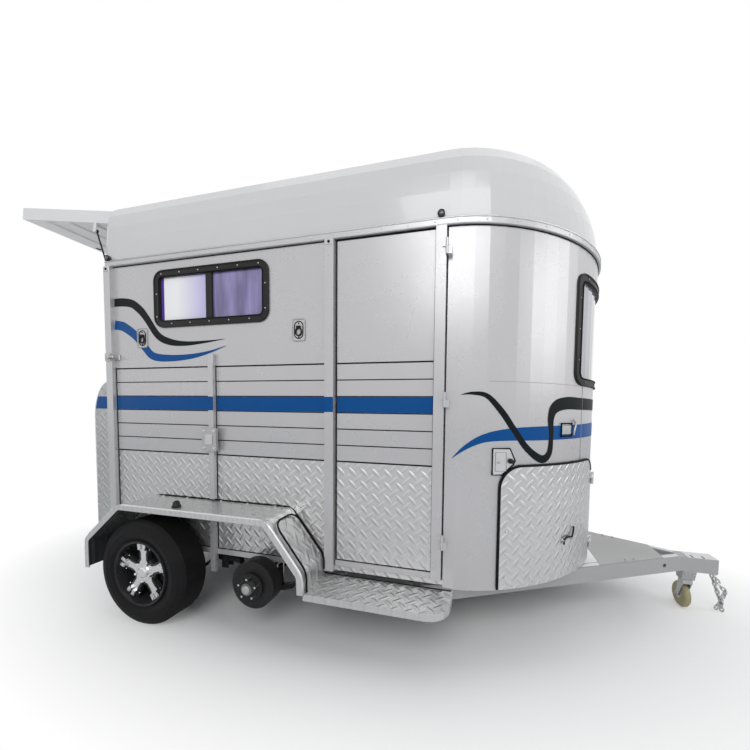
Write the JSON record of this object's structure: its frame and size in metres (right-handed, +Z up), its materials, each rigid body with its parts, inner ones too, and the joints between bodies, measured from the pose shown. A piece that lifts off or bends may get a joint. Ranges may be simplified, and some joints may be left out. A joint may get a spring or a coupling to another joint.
{
  "type": "horse trailer",
  "caption": "Tandem-axle horse trailer with a round nose, moulded roof, side door, rear ramp and flap, nose hatches, drawbar and castor.",
  "frame": {"origin": "on the ground, under the middle of the whole trailer's box", "axes": "+X forward to the drawbar, +Y to the left side, +Z up"},
  "size_m": [5.2246, 2.27, 2.917],
  "materials": {
    "skin": "satin silver paint",
    "plate": "raised diamond pattern",
    "roof": "moulded white",
    "trim": "satin",
    "black_steel": "black paint",
    "rail": "silver grey paint",
    "glass": "tinted",
    "frame_black": "satin black",
    "floor": "dark rubber coat",
    "tyre": "matte",
    "rim": "cast, satin",
    "rod": "polished",
    "zinc": "zinc plated",
    "tan": "matte tan",
    "lamp": "dark housing",
    "divider": "padded"
  },
  "bodies": {
    "trailer": {"chassis": "black_steel", "drawbar": "rail", "floor": "floor", "wall_right": "skin", "wall_left": "skin", "nose": "skin", "roof": "roof", "gutter": "trim", "rear_frame": "skin", "side_window_frames": "frame_black", "side_window_glass": "glass", "nose_window_frame": "frame_black", "nose_window_glass": "glass", "fender_right": "plate", "fender_left": "plate", "step_right": "plate", "step_left": "plate", "axles": "black_steel", "springs": "black_steel", "castor_mount": "rail", "safety_chains": "zinc", "lamps": "lamp", "tie_plates": "trim", "divider": "divider", "locker": "floor"},
    "wheel_rear_right": {"hub_rear_right": "black_steel", "rim_rear_right": "rim", "tyre_rear_right": "tyre"},
    "hub_front_right": {"hub_front_right": "black_steel"},
    "wheel_rear_left": {"hub_rear_left": "black_steel", "rim_rear_left": "rim", "tyre_rear_left": "tyre"},
    "wheel_front_left": {"hub_front_left": "black_steel", "rim_front_left": "rim", "tyre_front_left": "tyre"},
    "side_door": {"side_door": "skin"},
    "hatch_right": {"hatch_right": "plate"},
    "hatch_left": {"hatch_left": "plate"},
    "ramp": {"ramp": "plate"},
    "flap": {"flap": "skin"},
    "strut_tube_right": {"strut_tube_right": "black_steel"},
    "strut_tube_left": {"strut_tube_left": "black_steel"},
    "strut_rod_right": {"strut_rod_right": "rod"},
    "strut_rod_left": {"strut_rod_left": "rod"},
    "castor_fork": {"castor_fork": "zinc"},
    "castor_wheel": {"castor_wheel": "tan"}
  },
  "joints": [
    {"name": "wheel_rear_right_spin", "type": "hinge", "parent": "trailer", "child": "wheel_rear_right", "pos_m": [-1.1025, -1.0145, 0.334], "axis": [0, 1, 0], "continuous": true},
    {"name": "hub_front_right_spin", "type": "hinge", "parent": "trailer", "child": "hub_front_right", "pos_m": [-0.3425, -1.0145, 0.334], "axis": [0, 1, 0], "continuous": true},
    {"name": "wheel_rear_left_spin", "type": "hinge", "parent": "trailer", "child": "wheel_rear_left", "pos_m": [-1.1025, 1.0145, 0.334], "axis": [0, 1, 0], "continuous": true},
    {"name": "wheel_front_left_spin", "type": "hinge", "parent": "trailer", "child": "wheel_front_left", "pos_m": [-0.3425, 1.0145, 0.334], "axis": [0, 1, 0], "continuous": true},
    {"name": "side_door_hinge", "type": "hinge", "parent": "trailer", "child": "side_door", "pos_m": [0.7485, -0.913, 1.4], "axis": [0, 0, 1], "range_deg": [0, 165]},
    {"name": "hatch_right_hinge", "type": "hinge", "parent": "trailer", "child": "hatch_right", "pos_m": [1.66225, -0.26644, 0.7], "axis": [0, 0, 1], "range_deg": [0, 105]},
    {"name": "hatch_left_hinge", "type": "hinge", "parent": "trailer", "child": "hatch_left", "pos_m": [1.66225, 0.26644, 0.7], "axis": [0, 0, -1], "range_deg": [0, 105]},
    {"name": "ramp_hinge", "type": "hinge", "parent": "trailer", "child": "ramp", "pos_m": [-1.6495, 0, 0.36], "axis": [0, -1, 0], "range_deg": [0, 102]},
    {"name": "flap_hinge", "type": "hinge", "parent": "trailer", "child": "flap", "pos_m": [-1.6525, 0, 2.68], "axis": [0, -1, 0], "range_deg": [0, 99]},
    {"name": "strut_tube_right_pivot", "type": "hinge", "parent": "trailer", "child": "strut_tube_right", "pos_m": [-1.6175, -0.795, 1.99], "axis": [0, 1, 0], "range_deg": [0, 21.6]},
    {"name": "strut_rod_right_slide", "type": "slide", "parent": "strut_tube_right", "child": "strut_rod_right", "axis": [0.3368, 0, -0.9416], "range_m": [0, 0.224]},
    {"name": "strut_tube_left_pivot", "type": "hinge", "parent": "trailer", "child": "strut_tube_left", "pos_m": [-1.6175, 0.795, 1.99], "axis": [0, 1, 0], "range_deg": [0, 21.6]},
    {"name": "strut_rod_left_slide", "type": "slide", "parent": "strut_tube_left", "child": "strut_rod_left", "axis": [0.3368, 0, -0.9416], "range_m": [0, 0.224]},
    {"name": "castor_swivel", "type": "hinge", "parent": "trailer", "child": "castor_fork", "pos_m": [2.3625, 0, 0.2], "axis": [0, 0, 1], "continuous": true},
    {"name": "castor_wheel_spin", "type": "hinge", "parent": "castor_fork", "child": "castor_wheel", "pos_m": [2.3625, 0.035, 0.085], "axis": [1, 0, 0], "continuous": true}
  ],
  "couplings": [
    {"joint": "strut_tube_right_pivot", "follows": "flap_hinge", "ratio": 0.21654},
    {"joint": "strut_rod_right_slide", "follows": "flap_hinge", "m_per_rad": 0.12927},
    {"joint": "strut_tube_left_pivot", "follows": "flap_hinge", "ratio": 0.21654},
    {"joint": "strut_rod_left_slide", "follows": "flap_hinge", "m_per_rad": 0.12927}
  ]
}
